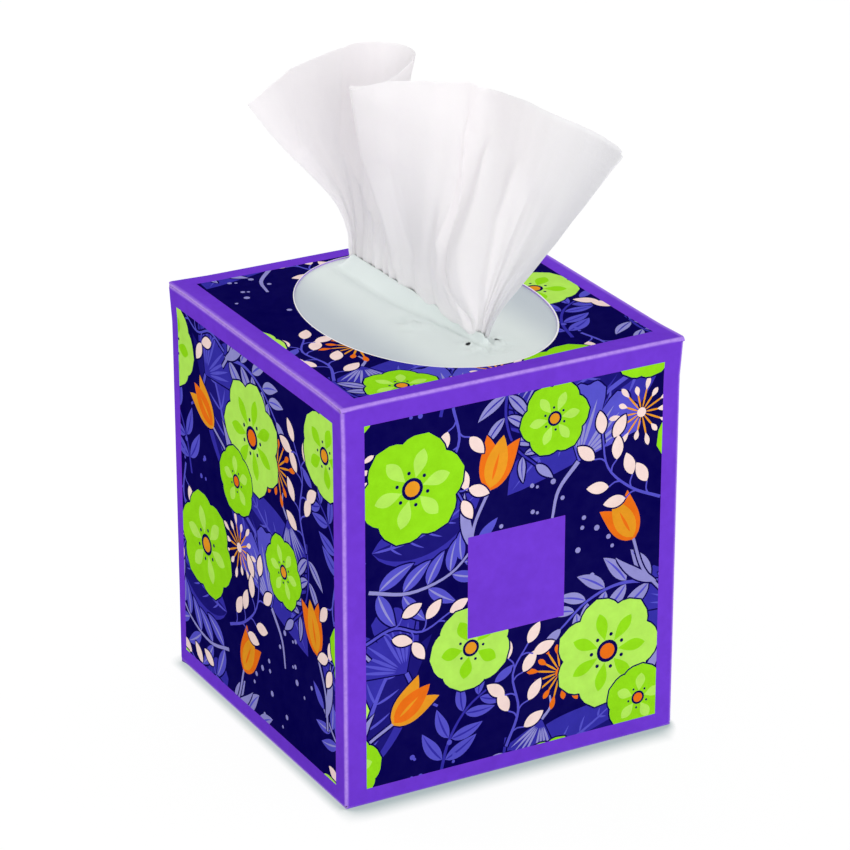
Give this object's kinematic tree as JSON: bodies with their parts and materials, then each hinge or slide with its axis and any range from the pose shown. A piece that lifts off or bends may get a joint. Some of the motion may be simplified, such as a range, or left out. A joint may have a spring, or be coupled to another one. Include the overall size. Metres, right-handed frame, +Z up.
{
  "type": "tissue box",
  "caption": "Upright cube-like carton of facial tissues with an oval film window and one tissue standing in its slit.",
  "frame": {"origin": "centre of the base, on the surface that the box stands on", "axes": "+Z up, -Y out of the front wall, which has the plain square panel, and the film's slit along Y"},
  "size_m": [0.11, 0.11, 0.1987],
  "materials": {
    "printed_board": "satin",
    "film": "satin",
    "tissue": "matte"
  },
  "bodies": {
    "root": {"carton": "printed_board", "film_window": "film", "tissue_stack": "tissue", "pulled_tissue": "tissue"}
  },
  "joints": []
}
